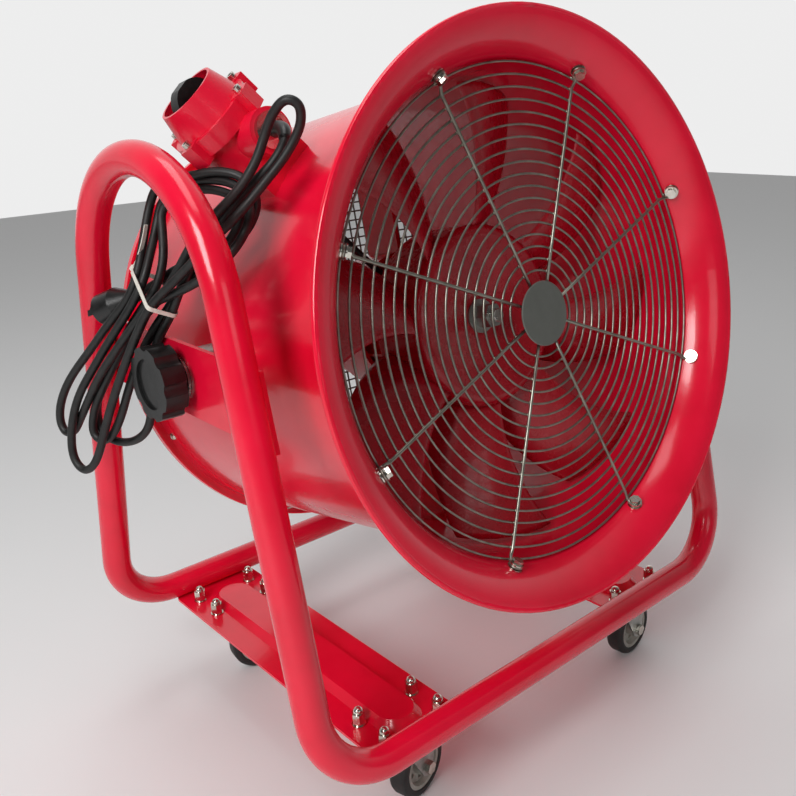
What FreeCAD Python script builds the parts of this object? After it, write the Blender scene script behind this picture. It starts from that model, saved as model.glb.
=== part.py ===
import FreeCAD, Part
import math
import os

# Portable axial ventilator: a duct with a bell mouth, tilting in a tube frame on four casters.
# Millimetres. +Z is up, the floor is z = 0, the mouth of the duct faces -Y and tips upwards.
# Axial stations A are measured along the duct's axis from the pivot, positive towards the mouth.
os.makedirs("parts", exist_ok=True)
V = FreeCAD.Vector
X, Y, Z = V(1, 0, 0), V(0, 1, 0), V(0, 0, 1)
O = V(0, 0, 0)

# Whole object
PIVOT_Z = 492.0
TILT = 10.5
Y_CENTRE = 13.2          # moves the model so that its footprint is centred on the origin

# Tube frame
TUBE_R = 17.0
TUBE_WALL = 2.0
ARCH_X = 324.0
FOOT_Y = 233.0           # centre of the legs at the height of the bars
BAR_Z = 131.0
LEAN = 0.20              # inward lean of the legs per unit of height
ARCH_TOP_Z = 566.0       # centre of the arch's round top
BEND_R = 78.0

# Side plates and base plates
PLATE_T = 5.0
SIDE_OUT = ARCH_X - TUBE_R + 0.5
SIDE_HALF = 37.5
BASE_X = 188.0
BASE_W = 115.0
BASE_L = 470.0
BASE_T = 3.0
BASE_TOP = BAR_Z - TUBE_R + 0.3
HAT_L, HAT_W, HAT_H = 400.0, 58.0, 10.0

# Casters
CASTER_X, CASTER_Y = 192.0, 176.0
HOLE_DX, HOLE_DY = 74.0, 45.0
WHEEL_R, WHEEL_W = 38.0, 24.0
TRAIL = 26.0
CASTERS = {
    "front_left": (-1, -1, 14.0, True),
    "front_right": (1, -1, 6.0, True),
    "rear_left": (-1, 1, -8.0, False),
    "rear_right": (1, 1, 10.0, False),
}
BOLT_R = 4.0
FIT = 0.05               # radial running clearance of a shaft in its hole

# Duct
DUCT_R = 254.0           # 20-inch bore
SHEET = 2.0
REAR_A, NECK_A = -231.0, 185.0
FLARE_R, FLARE_A = 48.0, 66.0
REAR_RIM_R = 269.0

# Guards
RINGS = 18
RING_FIRST, RING_LAST = 45.0, 255.6
RING_WIRE, SPOKE_WIRE = 1.25, 1.75
RING_A = 215.0
SPOKES = 8
SPOKE_TURN = 22.5
BADGE_R = 34.0
MESH_PITCH, MESH_WIRE = 12.5, 1.25
MESH_A = -222.0

# Impeller and motor
BLADES = 8
BLADE_TURN = 34.0
HUB_R = 102.0
TIP_R = 248.0
SHAFT_R = 8.5
MOTOR_R, MOTOR_REAR, MOTOR_FRONT = 70.0, -85.0, 42.0

# Switch box: it stands on the duct, square to the duct's axis
SWITCH_TURN = 43.3
SWITCH_A = 33.0
SWITCH_R = 40.0
SWITCH_FOOT, SWITCH_JOIN, SWITCH_RIM = 272.0, 333.5, 372.5
GLAND_R, GLAND_OUT, GLAND_H = 18.5, 70.0, 304.0

# Pivot fittings
STUD_R = 6.0
KNOB_R = 38.0

# Power cord
CORD_D = 9.0


def save(name, shape):
    shape = shape.copy()
    shape.translate(V(0, Y_CENTRE, 0))
    shape.exportStep("parts/%s.step" % name)


def group(shapes):
    return Part.makeCompound(shapes)


def fuse(shapes):
    return shapes[0].multiFuse(shapes[1:]).removeSplitter()


def rod(p, q, r):
    d = q.sub(p)
    return Part.makeCylinder(r, d.Length, p, d)


def pipe(p, q, r, hole):
    d = q.sub(p)
    past = V(d).normalize().multiply(1.0)
    return rod(p, q, r).cut(rod(p.sub(past), q.add(past), hole))


def box(x0, y0, z0, x1, y1, z1):
    return Part.makeBox(x1 - x0, y1 - y0, z1 - z0, V(x0, y0, z0))


def outline(points):
    """A closed outline of straight lines, or arcs where a point is given as (middle, end)."""
    edges = []
    here = points[0]
    for there in points[1:] + points[:1]:
        if isinstance(there, tuple):
            middle, there = there
            edges.append(Part.Arc(here, middle, there).toShape())
        elif here.sub(there).Length > 1e-6:
            edges.append(Part.LineSegment(here, there).toShape())
        here = there
    return Part.Face(Part.Wire(edges))


def spun(stations):
    """A ring about the duct's axis from (A, R) stations; ((A, R), (A, R)) is an arc's middle and end."""
    points = []
    for s in stations:
        if isinstance(s[0], tuple):
            points.append((V(s[0][1], -s[0][0], 0), V(s[1][1], -s[1][0], 0)))
        else:
            points.append(V(s[1], -s[0], 0))
    return outline(points).revolve(O, Y, 360)


def tilted(shape):
    """Puts a duct part, made about the Y axis through the origin, into its place on the frame."""
    shape = shape.copy()
    shape.rotate(O, X, -TILT)
    shape.translate(V(0, 0, PIVOT_Z))
    return shape


def at_switch(shape):
    """Puts a switch part, made standing on +Z from the duct's axis, into its place."""
    shape = shape.copy()
    shape.rotate(O, Y, -SWITCH_TURN)
    shape.translate(V(0, -SWITCH_A, 0))
    return tilted(shape)


def around(shape, count, start=0.0, axis=Y):
    out = []
    for i in range(count):
        one = shape.copy()
        one.rotate(O, axis, start + 360.0 * i / count)
        out.append(one)
    return out


def mirrored_x(shape):
    return shape.mirror(O, X)


def hexagon(across, z0, z1, x=0.0, y=0.0, axis=Z):
    r = across / math.sqrt(3)
    ring = [V(x + r * math.cos(math.radians(60 * i)), y + r * math.sin(math.radians(60 * i)), z0) for i in range(6)]
    return Part.Face(Part.makePolygon(ring + [ring[0]])).extrude(V(0, 0, z1 - z0))


def turned_to(shape, place, direction):
    """Moves a shape made on +Z from the origin to a place, with +Z along a direction."""
    shape = shape.copy()
    turn = FreeCAD.Rotation(Z, direction)
    shape.Placement = FreeCAD.Placement(place, turn).multiply(shape.Placement)
    return shape


# ---------------------------------------------------------------- tube frame
def leg_y(z):
    return FOOT_Y - LEAN * (z - BAR_Z)


def arch_path():
    tilt = math.atan(LEAN)
    r = leg_y(ARCH_TOP_Z) * math.cos(tilt)
    up = V(0, math.sin(tilt), math.cos(tilt))          # along the front leg, which stands at -Y
    foot = V(0, -FOOT_Y, BAR_Z)
    low = foot.add(V(up).multiply(BEND_R))
    in_x = foot.add(V(BEND_R, 0, 0))
    k = 1 - math.sqrt(0.5)
    bend_mid = foot.add(V(BEND_R * k, 0, 0)).add(V(up).multiply(BEND_R * k))
    high = V(0, -r * math.cos(tilt), ARCH_TOP_Z + r * math.sin(tilt))
    top = V(0, 0, ARCH_TOP_Z + r)

    def back(p):
        return V(p.x, -p.y, p.z)

    edges = [
        Part.Arc(in_x, bend_mid, low).toShape(),
        Part.LineSegment(low, high).toShape(),
        Part.Arc(high, top, back(high)).toShape(),
        Part.LineSegment(back(high), back(low)).toShape(),
        Part.Arc(back(low), back(bend_mid), back(in_x)).toShape(),
    ]
    return Part.Wire(edges), in_x


def arch_tube():
    path, start = arch_path()
    skins = []
    for r in (TUBE_R, TUBE_R - TUBE_WALL):
        ring = Part.Wire(Part.makeCircle(r, start, X))
        skins.append(path.makePipeShell([ring], True, False))
    tube = skins[0].cut(skins[1])
    tube.translate(V(-ARCH_X, 0, 0))
    return tube


def bar(side):
    end = ARCH_X - BEND_R
    y = side * FOOT_Y
    return pipe(V(-end, y, BAR_Z), V(end, y, BAR_Z), TUBE_R, TUBE_R - TUBE_WALL)


def side_plate():
    low, high = PIVOT_Z - SIDE_HALF, PIVOT_Z + SIDE_HALF
    yl, yh = leg_y(low) + 4.0, leg_y(high) + 4.0
    x = -SIDE_OUT
    corners = [V(x, -yl, low), V(x, yl, low), V(x, yh, high), V(x, -yh, high)]
    plate = outline(corners).extrude(V(PLATE_T, 0, 0))
    hole = rod(V(x - 1, 0, PIVOT_Z), V(x + PLATE_T + 1, 0, PIVOT_Z), STUD_R + FIT)
    return plate.cut(hole)


def slot_face(length, width, z):
    r = width / 2
    h = length / 2 - r
    return outline([V(r, -h, z), V(r, h, z), (V(0, h + r, z), V(-r, h, z)), V(-r, -h, z), (V(0, -h - r, z), V(r, -h, z))])


def raised(z_low, z_high, less):
    wires = []
    for z, inset in ((z_low, 0.0), (z_high, HAT_H)):
        wires.append(slot_face(HAT_L - 2 * (less + inset), HAT_W - 2 * (less + inset) * 0.75, z).OuterWire)
    return Part.makeLoft(wires, True, True)


def caster_holes(depth_low, depth_high, r):
    out = []
    for cy in (-CASTER_Y, CASTER_Y):
        for dx in (-HOLE_DX / 2, HOLE_DX / 2):
            for dy in (-HOLE_DY / 2, HOLE_DY / 2):
                p = V(CASTER_X + dx, cy + dy, depth_low)
                out.append(rod(p, V(p.x, p.y, depth_high), r))
    return out


def base_plate():
    half_w, half_l = BASE_W / 2, BASE_L / 2
    plate = box(CASTER_X - half_w, -half_l, BASE_TOP - BASE_T, CASTER_X + half_w, half_l, BASE_TOP)
    upright = [e for e in plate.Edges if abs(e.Vertexes[0].Z - e.Vertexes[1].Z) > 1]
    plate = plate.makeFillet(14.0, upright)
    hat = raised(BASE_TOP - 1.0, BASE_TOP + HAT_H, 0.0)
    under = raised(BASE_TOP - BASE_T - 2.0, BASE_TOP + HAT_H - BASE_T, 3.0)
    hat.translate(V(CASTER_X, 0, 0))
    under.translate(V(CASTER_X, 0, 0))
    plate = fuse([plate, hat]).cut(under)
    return plate.cut(group(caster_holes(BASE_TOP - 10, BASE_TOP + 5, BOLT_R + 0.3)))


# ---------------------------------------------------------------- casters
TOP_PLATE_T = 3.0
TOP_PLATE_LOW = BASE_TOP - BASE_T - TOP_PLATE_T
RACE_LOW = TOP_PLATE_LOW - 7.0
CROWN_TOP = RACE_LOW - 0.4
CROWN_LOW = CROWN_TOP - 3.0
FORK_IN, FORK_T = 14.2, 2.6
PEDAL_X, PEDAL_Z = 33.0, 85.0
PIN_R = 2.5


def both_ends(shape):
    """A caster's fixed pieces, made at the front right, repeated at all four corners."""
    out = []
    for sx in (1, -1):
        for sy in (1, -1):
            one = shape.copy()
            one.translate(V(sx * CASTER_X, sy * CASTER_Y, 0))
            out.append(one)
    return out


def caster_top_plate():
    plate = box(-48, -32, TOP_PLATE_LOW, 48, 32, TOP_PLATE_LOW + TOP_PLATE_T)
    upright = [e for e in plate.Edges if abs(e.Vertexes[0].Z - e.Vertexes[1].Z) > 1]
    plate = plate.makeFillet(6.0, upright)
    race = Part.makeCone(21.0, 25.0, TOP_PLATE_LOW - RACE_LOW, V(0, 0, RACE_LOW))
    pin = rod(V(0, 0, RACE_LOW - 8.0), V(0, 0, RACE_LOW + 2), 6.0)
    head = Part.makeCone(7.0, 10.0, 2.5, V(0, 0, CROWN_LOW - 3.0))
    body = fuse([plate, race, pin, head])
    holes = []
    for dx in (-HOLE_DX / 2, HOLE_DX / 2):
        for dy in (-HOLE_DY / 2, HOLE_DY / 2):
            holes.append(rod(V(dx, dy, TOP_PLATE_LOW - 1), V(dx, dy, TOP_PLATE_LOW + 4), BOLT_R + 0.3))
    return body.cut(group(holes))


def fork():
    crown = pipe(V(0, 0, CROWN_LOW), V(0, 0, CROWN_TOP), 27.0, 6.0 + FIT)
    skirt = Part.makeCone(27.0, 29.0, 3.0, V(0, 0, CROWN_LOW - 3.0))
    skirt = skirt.cut(rod(V(0, 0, CROWN_LOW - 4), V(0, 0, CROWN_LOW + 1), 24.0))
    legs = []
    for side in (-1, 1):
        y = side * FORK_IN
        t = side * FORK_T
        top = CROWN_LOW
        side_face = outline([V(-20, y, top), V(20, y, top), V(39, y, 91), V(40, y, 80), V(36.6, y, 41),
                             (V(TRAIL, y, WHEEL_R - 11), V(15.6, y, 34.5))])
        legs.append(side_face.extrude(V(0, t, 0)))
    body = fuse([crown, skirt] + legs)
    axle_hole = rod(V(TRAIL, -30, WHEEL_R), V(TRAIL, 30, WHEEL_R), BOLT_R + 0.02)
    pin_hole = rod(V(PEDAL_X, -30, PEDAL_Z), V(PEDAL_X, 30, PEDAL_Z), PIN_R + 0.02)
    return body.cut(group([axle_hole, pin_hole]))


def axle(braked):
    out = FORK_IN + FORK_T
    bolt = rod(V(TRAIL, -out, WHEEL_R), V(TRAIL, out + 8, WHEEL_R), BOLT_R)
    head = turned_to(hexagon(13.0, 0, 5.3), V(TRAIL, -out, WHEEL_R), V(0, -1, 0))
    nut = turned_to(hexagon(13.0, 0, 6.5), V(TRAIL, out, WHEEL_R), V(0, 1, 0))
    nut = nut.cut(rod(V(TRAIL, out - 1, WHEEL_R), V(TRAIL, out + 9, WHEEL_R), BOLT_R + FIT))
    solids = [fuse([bolt, head]), nut]
    if braked:
        solids.append(rod(V(PEDAL_X, -out - 1.5, PEDAL_Z), V(PEDAL_X, out + 1.5, PEDAL_Z), PIN_R))
    return group(solids)


def wheel_ring(points):
    shape = outline([V(r, y, 0) for y, r in points]).revolve(O, Y, 360)
    shape.translate(V(TRAIL, 0, WHEEL_R))
    return shape


def wheel_core():
    hub = 13.6
    half = [(-hub, BOLT_R + FIT), (hub, BOLT_R + FIT), (hub, 10.5), (4, 11.5), (4, 22), (10.5, 24), (10.5, 28.5)]
    core = wheel_ring(half + [(-10.5, 28.5), (-10.5, 24), (-4, 22), (-4, 11.5), (-hub, 10.5)])
    for i in range(6):
        a = math.radians(60 * i + 30)
        p = V(TRAIL + 16.8 * math.cos(a), -6, WHEEL_R + 16.8 * math.sin(a))
        core = core.cut(rod(p, V(p.x, 6, p.z), 3.4))
    return core


def tyre():
    w, r = WHEEL_W / 2, WHEEL_R
    return wheel_ring([(-w + 1, 28.5), (-10.5, 28.5), (10.5, 28.5), (w - 1, 28.5), (w, 30), (w, r - 5), (w - 2.2, r - 1.2),
                       (w - 5, r), (-w + 5, r), (-w + 2.2, r - 1.2), (-w, r - 5), (-w, 30)])


def brake_pedal():
    face = outline([V(28.5, -12, 84), V(29.5, -12, 88.5), V(34, -12, 90.2), V(58, -12, 87), V(68, -12, 80),
                    V(57.5, -12, 83.4), V(50, -12, 83.5), V(50, -12, 76), V(41, -12, 77.5), V(40, -12, 82), V(33, -12, 80.8)])
    pedal = face.extrude(V(0, 24, 0))
    return pedal.cut(rod(V(PEDAL_X, -30, PEDAL_Z), V(PEDAL_X, 30, PEDAL_Z), PIN_R + FIT))


def caster_at(shape, corner):
    sx, sy, swivel, braked = CASTERS[corner]
    shape = shape.copy()
    shape.rotate(O, Z, swivel)
    shape.translate(V(sx * CASTER_X, sy * CASTER_Y, 0))
    return shape


def caster_fasteners():
    """Bolt, washers, hex nut and acorn nut of one hole, made at the origin."""
    under = TOP_PLATE_LOW
    top = BASE_TOP
    bolt = fuse([rod(V(0, 0, under - 1), V(0, 0, top + 15.0), BOLT_R), hexagon(13.0, under - 5.3, under)])
    hole = BOLT_R + FIT
    flat = pipe(V(0, 0, top), V(0, 0, top + 1.6), 8.0, hole)
    spring = pipe(V(0, 0, top + 1.6), V(0, 0, top + 3.6), 6.6, hole)
    nut = hexagon(13.0, top + 3.6, top + 9.6).cut(rod(V(0, 0, top), V(0, 0, top + 12), hole))
    dome = Part.makeSphere(5.6, V(0, 0, top + 16.0))
    acorn = fuse([hexagon(13.0, top + 9.6, top + 15.0), rod(V(0, 0, top + 14), V(0, 0, top + 16), 5.6), dome])
    acorn = acorn.cut(rod(V(0, 0, top + 5), V(0, 0, top + 15.2), hole))
    return bolt, flat, spring, nut, acorn


def at_holes(shape):
    out = []
    for sx in (-1, 1):
        for sy in (-1, 1):
            for dx in (-HOLE_DX / 2, HOLE_DX / 2):
                for dy in (-HOLE_DY / 2, HOLE_DY / 2):
                    one = shape.copy()
                    one.translate(V(sx * CASTER_X + dx, sy * CASTER_Y + dy, 0))
                    out.append(one)
    return out


# ---------------------------------------------------------------- duct
def duct_barrel():
    shell = spun([(REAR_A, DUCT_R), (NECK_A, DUCT_R), (NECK_A, DUCT_R + SHEET), (REAR_A, DUCT_R + SHEET)])
    wire_hole = rod(V(0, 0, DUCT_R - 5), V(0, 0, DUCT_R + 5), 6.0)
    wire_hole.rotate(O, Y, -SWITCH_TURN)
    wire_hole.translate(V(0, -SWITCH_A, 0))
    return tilted(shell.cut(wire_hole))


def flare_point(share, inset):
    """A point of the flare's quarter ellipse; inset is the sheet's thickness, measured inwards."""
    a = math.radians(90.0 * share)
    r = DUCT_R + FLARE_R - (FLARE_R - inset) * math.cos(a)
    return V(r, -(NECK_A + (FLARE_A - inset) * math.sin(a)), 0)


def bell_mouth():
    centre = V(DUCT_R + FLARE_R, -NECK_A, 0)
    edges = []
    for inset in (0.0, SHEET):
        ellipse = Part.Ellipse(centre, FLARE_A - inset, FLARE_R - inset)
        ellipse.XAxis = V(0, -1, 0)
        low = ellipse.parameter(flare_point(0, inset))
        high = ellipse.parameter(flare_point(1, inset))
        edges.append(ellipse.toShape(min(low, high), max(low, high)) if abs(high - low) < math.pi
                     else ellipse.toShape(max(low, high), min(low, high) + 2 * math.pi))
    edges.append(Part.LineSegment(flare_point(0, 0.0), flare_point(0, SHEET)).toShape())
    edges.append(Part.LineSegment(flare_point(1, 0.0), flare_point(1, SHEET)).toShape())
    flare = Part.Face(Part.Wire(Part.__sortEdges__(edges))).revolve(O, Y, 360)
    bead = Part.makeTorus(DUCT_R + FLARE_R - 2.2, 3.4, V(0, -(NECK_A + FLARE_A - 3.0), 0), Y)
    flare = fuse([flare, bead])
    for place, direction in screw_places():
        hole = turned_to(rod(V(0, 0, -12), V(0, 0, 4), 3.1), place, direction)
        flare = flare.cut(hole)
    return tilted(flare)


SCREW_A = 223.5


def screw_places():
    """Where the guard's screws stand on the flare, and which way they point, in the duct's own frame."""
    t = (SCREW_A - NECK_A) / FLARE_A
    r = DUCT_R + FLARE_R * (1 - math.sqrt(1 - t * t))
    slope = math.atan(FLARE_R / FLARE_A * t / math.sqrt(1 - t * t))
    out = []
    for i in range(SPOKES):
        a = math.radians(SPOKE_TURN + 360.0 * i / SPOKES)
        radial = V(math.cos(a), 0, math.sin(a))
        direction = V(radial).multiply(-math.cos(slope)).add(V(0, -math.sin(slope), 0))
        out.append((V(radial).multiply(r).add(V(0, -SCREW_A, 0)), direction))
    return out


def rear_rim():
    a, r = REAR_A, DUCT_R + SHEET
    ring = spun([(a, r), (a + 26, r), (a + 26, r + 2.5), (a + 4, r + 2.5), (a + 4, REAR_RIM_R - 2.5), (a + 9, REAR_RIM_R - 2.5),
                 (a + 9, REAR_RIM_R), (a, REAR_RIM_R)])
    return tilted(ring)


def rim_screws():
    """Pan-head screws through the rear band, all round it."""
    head = Part.makeSphere(6.5, V(0, 0, 0)).common(box(-8, -8, 3.2, 8, 8, 8))
    head.translate(V(0, 0, DUCT_R + SHEET + 2.5 - 3.2))
    one = fuse([head, rod(V(0, 0, DUCT_R - 4), V(0, 0, DUCT_R + SHEET + 4), 2.0)])
    one.translate(V(0, -(REAR_A + 17), 0))
    return [tilted(s) for s in around(one, 8, 22.5)]


# ---------------------------------------------------------------- guards
def front_guard_rings():
    step = (RING_LAST - RING_FIRST) / (RINGS - 1)
    return [tilted(Part.makeTorus(RING_FIRST + i * step, RING_WIRE, V(0, -RING_A, 0), Y)) for i in range(RINGS)]


def front_guard_spokes():
    out = []
    plane = -(RING_A + RING_WIRE + SPOKE_WIRE - 0.2)
    for i, (place, direction) in enumerate(screw_places()):
        a = math.radians(SPOKE_TURN + 360.0 * i / SPOKES)
        radial = V(math.cos(a), 0, math.sin(a))
        spoke = rod(V(radial).multiply(20.0).add(V(0, plane, 0)), V(radial).multiply(257.0).add(V(0, plane, 0)), SPOKE_WIRE)
        eye = turned_to(Part.makeTorus(5.6, SPOKE_WIRE, V(0, 0, 1.4 + SPOKE_WIRE), Z), place, direction)
        out.append(tilted(fuse([spoke, eye])))
    return out


def guard_badge():
    a = RING_A + RING_WIRE + 2 * SPOKE_WIRE - 0.2
    return tilted(spun([(a, 0), (a, BADGE_R - 0.5), (a + 1.0, BADGE_R), (a + 1.8, BADGE_R - 1.0), (a + 2.2, 0)]))


def guard_screw_sets():
    """Screw with a washer each side of the spoke's eye, and a nut outside the flare."""
    out = []
    eye = 1.4 + 2 * SPOKE_WIRE
    for place, direction in screw_places():
        screw = fuse([rod(V(0, 0, -10), V(0, 0, eye + 2), 3.0), hexagon(10.0, eye + 1.4, eye + 5.4)])
        low = pipe(V(0, 0, 0.25), V(0, 0, 1.4), 8.0, 3.0 + FIT)
        high = pipe(V(0, 0, eye), V(0, 0, eye + 1.4), 7.5, 3.0 + FIT)
        nut = hexagon(10.0, -8.2, -2.6).cut(rod(V(0, 0, -12), V(0, 0, 0), 3.0 + FIT))
        for piece in (screw, low, high, nut):
            out.append(tilted(turned_to(piece, place, direction)))
    return out


def rear_guard_mesh():
    hoop_r = DUCT_R - 3.0
    out = [Part.makeTorus(hoop_r, 2.6, V(0, -MESH_A, 0), Y)]
    count = int(hoop_r / MESH_PITCH)
    for i in range(-count, count + 1):
        off = (i + 0.5) * MESH_PITCH
        half = math.sqrt(max((hoop_r - 0.8) ** 2 - off ** 2, 0))
        if half < 20:
            continue
        out.append(rod(V(-half, -MESH_A - MESH_WIRE, off), V(half, -MESH_A - MESH_WIRE, off), MESH_WIRE))
        out.append(rod(V(off, -MESH_A + MESH_WIRE, -half), V(off, -MESH_A + MESH_WIRE, half), MESH_WIRE))
    return [tilted(s) for s in out]


# ---------------------------------------------------------------- impeller and motor
def impeller_hub():
    hub = spun([(62, HUB_R - 4), (62, HUB_R), (126, HUB_R), ((134.5, HUB_R - 3.5), (138, HUB_R - 12)), (122, 24), (122, SHAFT_R),
                (78, SHAFT_R), (78, 20), (117.5, 20), (117.5, 24), (133.4, HUB_R - 13), ((131, HUB_R - 6.2), (126, HUB_R - 4))])
    return tilted(hub)


def blade_section(h, t_rear, a_rear, t_front, a_front, camber, thick):
    """A cambered plate section square to the blade's radius, at the distance h from the axis."""
    run, rise = t_front - t_rear, a_front - a_rear
    length = math.hypot(run, rise)
    nt, na = -rise / length, run / length

    def point(share, lift):
        return V(-(t_rear + share * run + lift * nt), -(a_rear + share * rise + lift * na), h)

    half = thick / 2
    edges = [
        Part.Arc(point(0, -half), point(0.5, camber - half), point(1, -half)).toShape(),
        Part.LineSegment(point(1, -half), point(1, half)).toShape(),
        Part.Arc(point(1, half), point(0.5, camber + half), point(0, half)).toShape(),
        Part.LineSegment(point(0, half), point(0, -half)).toShape(),
    ]
    return Part.Wire(edges)


def impeller_blades():
    root = blade_section(88, -38, 72, 20, 133, 7, 3.0)
    middle = blade_section(170, -46, 98, 38, 152, 7, 3.0)
    tip = blade_section(254, -52, 124, 50, 166, 6, 3.0)
    blade = Part.makeLoft([root, middle, tip], True, True)
    blade = blade.cut(rod(V(0, 0, 0), V(0, -200, 0), HUB_R))
    blade = blade.common(rod(V(0, 0, 0), V(0, -200, 0), TIP_R))
    out = []
    for one in around(blade, BLADES, 90.0 - BLADE_TURN):
        out.append(tilted(one))
    return out


def rotor_and_shaft():
    r = SHAFT_R
    shaft = spun([(-98, 0), (-98, r), (122, r), (122, 7.5), (152, 7.5), (153, 6.5), (153, 0)])
    rotor = spun([(-62, r), (-62, 38), (12, 38), (12, r)])
    return [tilted(shaft), tilted(rotor)]


def shaft_nut():
    washer = spun([(122, 7.55), (122, 19), (125, 19), (125, 7.55)])
    nut = turned_to(hexagon(24.0, 0, 12.0), V(0, -125, 0), V(0, -1, 0))
    lock = turned_to(hexagon(24.0, 0, 8.0), V(0, -137.2, 0), V(0, -1, 0))
    hole = rod(V(0, -120, 0), V(0, -150, 0), 7.55)
    return [tilted(washer), tilted(nut.cut(hole)), tilted(lock.cut(hole))]


BEARING_R = 20.0


def motor_housing():
    inner = MOTOR_R - 7
    shell = spun([(MOTOR_REAR, inner), (MOTOR_FRONT, inner), (MOTOR_FRONT, MOTOR_R), (MOTOR_REAR, MOTOR_R)])
    fin = box(-1.5, -MOTOR_FRONT + 8, MOTOR_R - 1, 1.5, -MOTOR_REAR - 8, MOTOR_R + 8)
    return tilted(fuse([shell] + around(fin, 24, 7.5)))


def motor_stator():
    return tilted(spun([(-64, 40), (14, 40), (14, MOTOR_R - 7), (-64, MOTOR_R - 7)]))


def shield(out):
    """An end shield's stations from its joint with the housing outwards; out is +1 in front, -1 behind."""
    a = MOTOR_FRONT if out > 0 else MOTOR_REAR
    bore = SHAFT_R + 0.7 if out > 0 else 0
    steps = [(0, BEARING_R), (0, MOTOR_R + 3), (6, MOTOR_R + 3), (12, 36), (20, 30), (20, bore), (14, bore), (14, BEARING_R)]
    return spun([(a + out * step, r) for step, r in steps])


def end_shields():
    return [tilted(shield(1)), tilted(shield(-1))]


def bearings():
    out = []
    for a in (MOTOR_FRONT + 1, MOTOR_REAR - 14):
        ring = spun([(a, SHAFT_R + FIT), (a, BEARING_R), (a + 13, BEARING_R), (a + 13, SHAFT_R + FIT)])
        out.append(tilted(ring))
    return out


def motor_mount():
    """A clamp ring round the motor's fins with four arms that reach the duct's wall."""
    fin_r = MOTOR_R + 8
    ring = spun([(-60, fin_r), (0, fin_r), (0, fin_r + 5), (-60, fin_r + 5)])
    arm = box(-2.5, 0, fin_r + 2, 2.5, 60, DUCT_R + 2)
    foot = box(-22, 0, DUCT_R - 9, 22, 60, DUCT_R + 3)
    foot = foot.cut(rod(V(0, -1, 0), V(0, 61, 0), DUCT_R - 5))
    arm = fuse([arm, foot]).common(rod(V(0, -1, 0), V(0, 61, 0), DUCT_R))
    return tilted(fuse([ring] + around(arm, 4, 0.0)))


def motor_lead():
    lead = rod(V(0, 0, MOTOR_R - 0.5), V(0, 0, SWITCH_FOOT + 4), 4.0)
    return at_switch(lead.cut(rod(V(0, -60, 0), V(0, 60, 0), MOTOR_R)))


# ---------------------------------------------------------------- switch box
LUG_ANGLES = (22.0, 88.0, 205.0, 285.0)
LUG_W, LUG_OUT = 17.0, 55.0


def lugs(z0, z1):
    out = []
    for angle in LUG_ANGLES:
        lug = box(30, -LUG_W / 2, z0, LUG_OUT, LUG_W / 2, z1)
        lug.rotate(O, Z, angle - 90.0)
        out.append(lug)
    return out


def lug_points(r):
    return [V(r * math.cos(math.radians(a - 90)), r * math.sin(math.radians(a - 90)), 0) for a in LUG_ANGLES]


def switch_base():
    flange = SWITCH_JOIN - 9.5
    body = Part.makeCylinder(SWITCH_R, flange - SWITCH_FOOT + 2, V(0, 0, SWITCH_FOOT))
    rim = Part.makeCylinder(46.5, 9.5, V(0, 0, flange))
    boss = rod(V(0, 0, GLAND_H), V(0, -GLAND_OUT + 5, 0).add(V(0, 0, GLAND_H)), 23.0)
    foot = box(-34, -34, DUCT_R - 20, 34, 34, SWITCH_FOOT + 2)
    solid = fuse([body, rim, boss, foot] + lugs(flange - 3, SWITCH_JOIN))
    cavity = Part.makeCylinder(SWITCH_R - 5, SWITCH_JOIN - SWITCH_FOOT, V(0, 0, SWITCH_FOOT + 6))
    boss_hole = rod(V(0, -30, GLAND_H), V(0, -GLAND_OUT, GLAND_H), GLAND_R)
    duct = rod(V(0, -200, 0), V(0, 200, 0), DUCT_R + SHEET)
    wire = rod(V(0, 0, DUCT_R), V(0, 0, SWITCH_FOOT + 10), 6.0)
    screw_holes = [rod(p.add(V(0, 0, 310)), p.add(V(0, 0, 340)), 2.5 + FIT) for p in lug_points(48.0)]
    return at_switch(solid.cut(group([duct]))
                     .cut(cavity).cut(boss_hole).cut(wire).cut(group(screw_holes)))


def switch_cover():
    join = SWITCH_JOIN
    rim = Part.makeCylinder(46.5, 9.5, V(0, 0, join))
    collar = Part.makeCone(41.0, 33.0, SWITCH_RIM - join - 9.0, V(0, 0, join + 9.0))
    inside = Part.makeCone(37.5, 30.0, SWITCH_RIM - join - 12.5, V(0, 0, join + 13.0))
    solid = fuse([rim, collar] + lugs(join, join + 11))
    shaft_hole = rod(V(0, 0, join - 1), V(0, 0, join + 20), 5.0 + FIT)
    recess = Part.makeCylinder(30, 6, V(0, 0, join - 1))
    screw_holes = [rod(p.add(V(0, 0, join - 1)), p.add(V(0, 0, join + 20)), 2.5 + FIT) for p in lug_points(48.0)]
    return at_switch(solid.cut(inside).cut(shaft_hole).cut(recess).cut(group(screw_holes)))


def switch_screws():
    top = SWITCH_JOIN + 11
    one = fuse([rod(V(0, 0, top - 22), V(0, 0, top + 1), 2.5), rod(V(0, 0, top), V(0, 0, top + 5), 4.2)])
    socket = hexagon(4.0, top + 2, top + 6)
    one = one.cut(socket)
    out = []
    for p in lug_points(48.0):
        screw = one.copy()
        screw.translate(p)
        out.append(at_switch(screw))
    return out


def switch_knob():
    floor = SWITCH_JOIN + 13.3
    disc = Part.makeCone(22.0, 20.5, 11.0, V(0, 0, floor))
    grip = box(-21.0, -7.5, floor + 9, 21.0, 7.5, floor + 34)
    top = Part.makeCylinder(24.0, 15.0, V(0, -7.5, floor + 11), Y)
    grip = grip.common(top)
    shaft = rod(V(0, 0, SWITCH_JOIN - 12), V(0, 0, floor + 2), 5.0)
    return at_switch(fuse([disc, grip, shaft]))


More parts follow.
